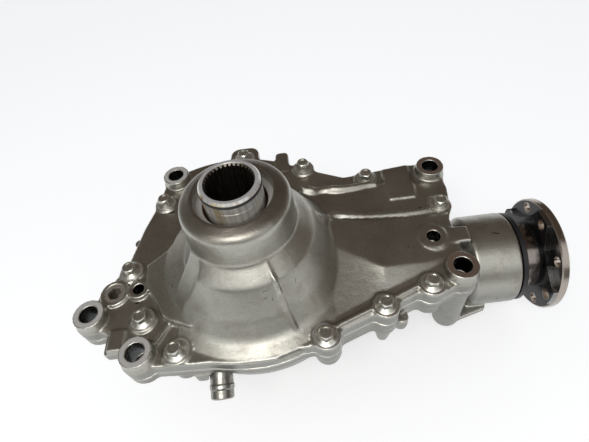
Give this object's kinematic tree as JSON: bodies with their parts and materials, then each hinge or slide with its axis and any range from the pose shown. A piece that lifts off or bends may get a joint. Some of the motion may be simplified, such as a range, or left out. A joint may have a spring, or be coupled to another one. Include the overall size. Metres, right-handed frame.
{
  "type": "front differential",
  "caption": "Front axle differential: cast housing and domed side cover around a bevel gear pair, with a flanged input and two outputs.",
  "frame": {"origin": "on the ring gear's axis, in the outer face of the left output boss", "axes": "+Z along the ring gear's axis towards the right output; +X along the pinion's axis towards the input flange"},
  "size_m": [0.3792, 0.2344, 0.2037],
  "materials": {
    "cast_aluminium": "die-cast, fine grain, machined bosses",
    "machined_steel": "turned and ground",
    "gear_steel": "case-hardened and lapped",
    "bearing_steel": "ground",
    "case_iron": "as cast and turned",
    "black_steel": "black oxide, turned rim",
    "zinc_bolts": "zinc plated",
    "plated_nipple": "dull zinc plate",
    "seal_rubber": "matt black"
  },
  "bodies": {
    "housing": {"carrier_housing": "cast_aluminium", "cover_bolts": "zinc_bolts", "fill_plug": "zinc_bolts", "left_case_cup": "bearing_steel", "left_case_shim": "machined_steel", "left_output_seal": "seal_rubber", "locating_dowels": "machined_steel", "pinion_head_cup": "bearing_steel", "pinion_seal": "seal_rubber", "pinion_tail_cup": "bearing_steel", "right_case_cup": "bearing_steel", "right_case_shim": "machined_steel", "right_output_seal": "seal_rubber", "side_cover": "cast_aluminium", "vent_nipple": "plated_nipple"},
    "differential": {"diff_case": "case_iron", "ring_gear": "gear_steel", "ring_gear_bolts": "black_steel", "cross_pin": "gear_steel", "cross_pin_lock": "machined_steel", "right_case_cone": "bearing_steel", "left_case_cone": "bearing_steel", "right_thrust_washer": "machined_steel", "left_thrust_washer": "machined_steel", "rear_planet_washer": "machined_steel", "front_planet_washer": "machined_steel"},
    "pinion": {"pinion_shaft": "gear_steel", "pinion_shim": "machined_steel", "crush_sleeve": "machined_steel", "input_flange": "black_steel", "pinion_nut": "zinc_bolts", "dust_deflector": "black_steel", "pinion_head_cone": "bearing_steel", "pinion_tail_cone": "bearing_steel"},
    "right_output": {"right_side_gear": "gear_steel", "output_sleeve": "machined_steel", "sleeve_o_ring": "seal_rubber"},
    "left_output_gear": {"left_side_gear": "gear_steel"},
    "rear_planet": {"rear_planet_gear": "gear_steel"},
    "front_planet": {"front_planet_gear": "gear_steel"},
    "right_case_roller_set": {"right_case_rollers": "bearing_steel"},
    "left_case_roller_set": {"left_case_rollers": "bearing_steel"},
    "pinion_head_roller_set": {"pinion_head_rollers": "bearing_steel"},
    "pinion_tail_roller_set": {"pinion_tail_rollers": "bearing_steel"}
  },
  "joints": [
    {"name": "ring_spin", "type": "hinge", "parent": "housing", "child": "differential", "pos_m": [0, 0, 0.078], "axis": [0, 0, 1], "continuous": true},
    {"name": "pinion_spin", "type": "hinge", "parent": "housing", "child": "pinion", "pos_m": [0, 0, 0.072], "axis": [1, 0, 0], "continuous": true},
    {"name": "right_output_spin", "type": "hinge", "parent": "differential", "child": "right_output", "pos_m": [0, 0, 0.078], "axis": [0, 0, 1], "continuous": true},
    {"name": "left_output_spin", "type": "hinge", "parent": "differential", "child": "left_output_gear", "pos_m": [0, 0, 0.078], "axis": [0, 0, 1], "continuous": true},
    {"name": "rear_planet_spin", "type": "hinge", "parent": "differential", "child": "rear_planet", "pos_m": [0, 0, 0.078], "axis": [0, 1, 0], "continuous": true},
    {"name": "front_planet_spin", "type": "hinge", "parent": "differential", "child": "front_planet", "pos_m": [0, 0, 0.078], "axis": [0, 1, 0], "continuous": true},
    {"name": "right_case_roller_orbit", "type": "hinge", "parent": "housing", "child": "right_case_roller_set", "pos_m": [0, 0, 0.126], "axis": [0, 0, 1], "continuous": true},
    {"name": "left_case_roller_orbit", "type": "hinge", "parent": "housing", "child": "left_case_roller_set", "pos_m": [0, 0, 0.032], "axis": [0, 0, 1], "continuous": true},
    {"name": "pinion_head_roller_orbit", "type": "hinge", "parent": "housing", "child": "pinion_head_roller_set", "pos_m": [0, 0, 0.072], "axis": [1, 0, 0], "continuous": true},
    {"name": "pinion_tail_roller_orbit", "type": "hinge", "parent": "housing", "child": "pinion_tail_roller_set", "pos_m": [0, 0, 0.072], "axis": [1, 0, 0], "continuous": true}
  ],
  "couplings": [
    {"joint": "pinion_spin", "follows": "ring_spin", "ratio": -3.4545},
    {"joint": "left_output_spin", "follows": "right_output_spin", "ratio": -1},
    {"joint": "rear_planet_spin", "follows": "right_output_spin", "ratio": -1.6},
    {"joint": "front_planet_spin", "follows": "right_output_spin", "ratio": 1.6},
    {"joint": "right_case_roller_orbit", "follows": "ring_spin", "ratio": 0.4433},
    {"joint": "left_case_roller_orbit", "follows": "ring_spin", "ratio": 0.4433},
    {"joint": "pinion_head_roller_orbit", "follows": "ring_spin", "ratio": -1.5314},
    {"joint": "pinion_tail_roller_orbit", "follows": "ring_spin", "ratio": -1.5314}
  ]
}
